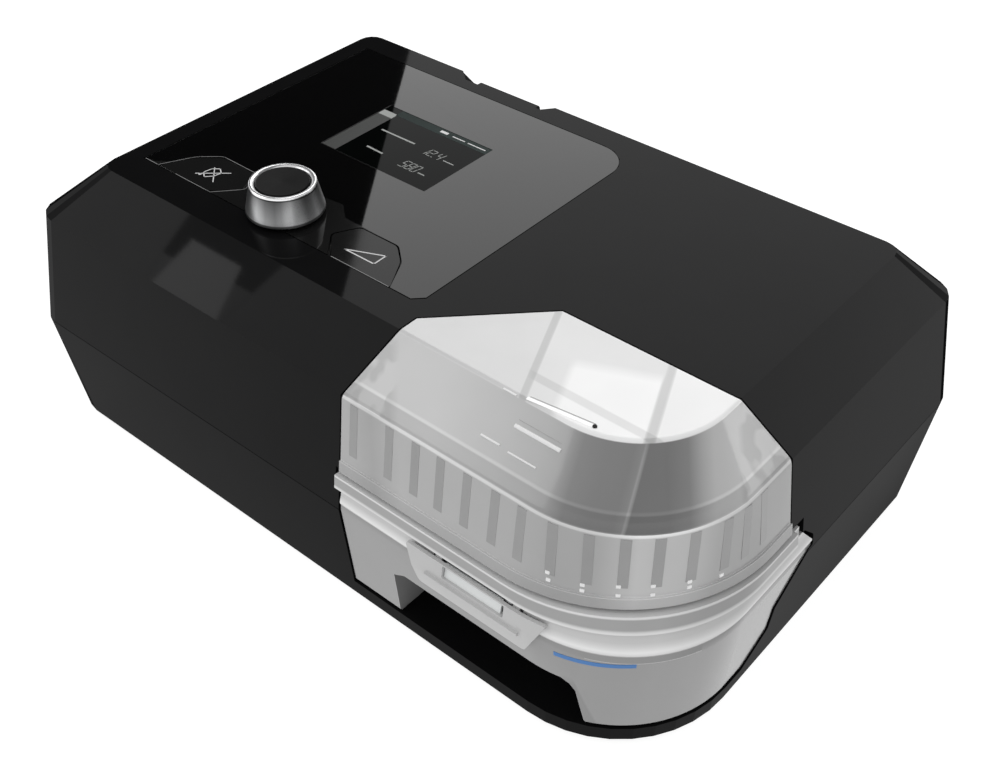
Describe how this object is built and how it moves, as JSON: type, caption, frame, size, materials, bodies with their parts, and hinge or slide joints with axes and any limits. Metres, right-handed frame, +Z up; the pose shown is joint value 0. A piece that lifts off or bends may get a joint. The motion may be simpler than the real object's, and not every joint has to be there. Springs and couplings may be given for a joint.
{
  "type": "bedside positive airway pressure machine",
  "caption": "Low bedside breathing machine with sloped casing, gloss display deck, knob, press keys, rear hose port and a clear lidded water tank at the front right corner.",
  "frame": {"origin": "middle of the base, on the surface that the feet stand on", "axes": "+X to the user's right along the long side, -Y towards the user (front), +Z up"},
  "size_m": [0.29, 0.196, 0.1212],
  "materials": {
    "casing_plastic": "black moulded plastic, fine satin texture",
    "window_gloss": "piano black, mirror gloss",
    "screen": "dark display glass",
    "circuit_board": "green solder mask",
    "white_plastic": "natural moulded plastic",
    "black_plastic": "satin black",
    "knob_metal": "satin turned aluminium",
    "steel": "bright steel",
    "card_plastic": "blue moulded plastic",
    "silicone": "matte grey silicone",
    "filter_foam": "open pale foam",
    "heater_metal": "machined aluminium",
    "tub_plastic": "frosted translucent grey plastic",
    "lid_plastic": "clear smoky plastic, polished",
    "foot_rubber": "matte black rubber"
  },
  "bodies": {
    "root": {"upper_housing": "casing_plastic", "lower_housing": "casing_plastic", "display_window": "window_gloss", "lcd_module": "screen", "display_board": "circuit_board", "display_ribbon": "white_plastic", "mute_switch": "black_plastic", "ramp_switch": "black_plastic", "knob_encoder": "steel", "main_board": "circuit_board", "power_transformer": "black_plastic", "filter_capacitor_1": "steel", "filter_capacitor_2": "steel", "power_inlet": "black_plastic", "card_reader": "steel", "blower_base": "white_plastic", "blower_cover": "white_plastic", "blower_motor": "steel", "blower_isolator_1": "silicone", "blower_isolator_2": "silicone", "blower_isolator_3": "silicone", "intake_box": "black_plastic", "filter_pad": "filter_foam", "tank_inlet_seal": "silicone", "tank_outlet_seal": "silicone", "return_duct": "silicone", "hose_port": "casing_plastic", "heater_plate": "heater_metal", "heater_element": "circuit_board", "foot_1": "foot_rubber", "foot_2": "foot_rubber", "foot_3": "foot_rubber", "foot_4": "foot_rubber", "case_screw_1": "steel", "case_screw_2": "steel", "case_screw_3": "steel", "case_screw_4": "steel"},
    "tank": {"water_tub": "tub_plastic", "tub_base_plate": "steel", "latch_pin": "steel"},
    "lid": {"tank_lid": "lid_plastic", "tank_seal": "silicone"},
    "latch": {"tank_latch": "tub_plastic"},
    "mute_key": {"mute_button": "window_gloss"},
    "ramp_key": {"ramp_button": "window_gloss"},
    "knob_stem": {"knob_shaft": "steel"},
    "knob_turner": {"knob": "knob_metal", "knob_cap": "black_plastic"},
    "filter_door": {"filter_cover": "casing_plastic"},
    "card": {"memory_card": "card_plastic"},
    "rotor": {"motor_shaft": "steel", "impeller": "black_plastic"}
  },
  "joints": [
    {"name": "tank_slide", "type": "slide", "parent": "root", "child": "tank", "axis": [0, -1, 0], "range_m": [0, 0.12]},
    {"name": "lid_lift", "type": "slide", "parent": "tank", "child": "lid", "axis": [0, 0, 1], "range_m": [0, 0.07]},
    {"name": "latch_hinge", "type": "hinge", "parent": "tank", "child": "latch", "pos_m": [0.07815, -0.0936, 0.0541], "axis": [-1, 0, 0], "range_deg": [0, 25]},
    {"name": "mute_press", "type": "slide", "parent": "root", "child": "mute_key", "axis": [0, 0, -1], "range_m": [0, 0.0006], "stiffness_N_per_m": 400, "springref_m": -0.001},
    {"name": "ramp_press", "type": "slide", "parent": "root", "child": "ramp_key", "axis": [0, 0, -1], "range_m": [0, 0.0006], "stiffness_N_per_m": 400, "springref_m": -0.001},
    {"name": "knob_press", "type": "slide", "parent": "root", "child": "knob_stem", "axis": [0, 0, -1], "range_m": [0, 0.0008], "stiffness_N_per_m": 500, "springref_m": -0.001},
    {"name": "knob_turn", "type": "hinge", "parent": "knob_stem", "child": "knob_turner", "pos_m": [-0.049, -0.047, 0.115], "axis": [0, 0, 1], "continuous": true},
    {"name": "filter_pull", "type": "slide", "parent": "root", "child": "filter_door", "axis": [0, 1, 0], "range_m": [0, 0.03]},
    {"name": "card_pull", "type": "slide", "parent": "root", "child": "card", "axis": [-1, 0, 0], "range_m": [0, 0.02]},
    {"name": "impeller_spin", "type": "hinge", "parent": "root", "child": "rotor", "pos_m": [0.082, 0.033, 0.08], "axis": [0, 0, 1], "continuous": true}
  ]
}
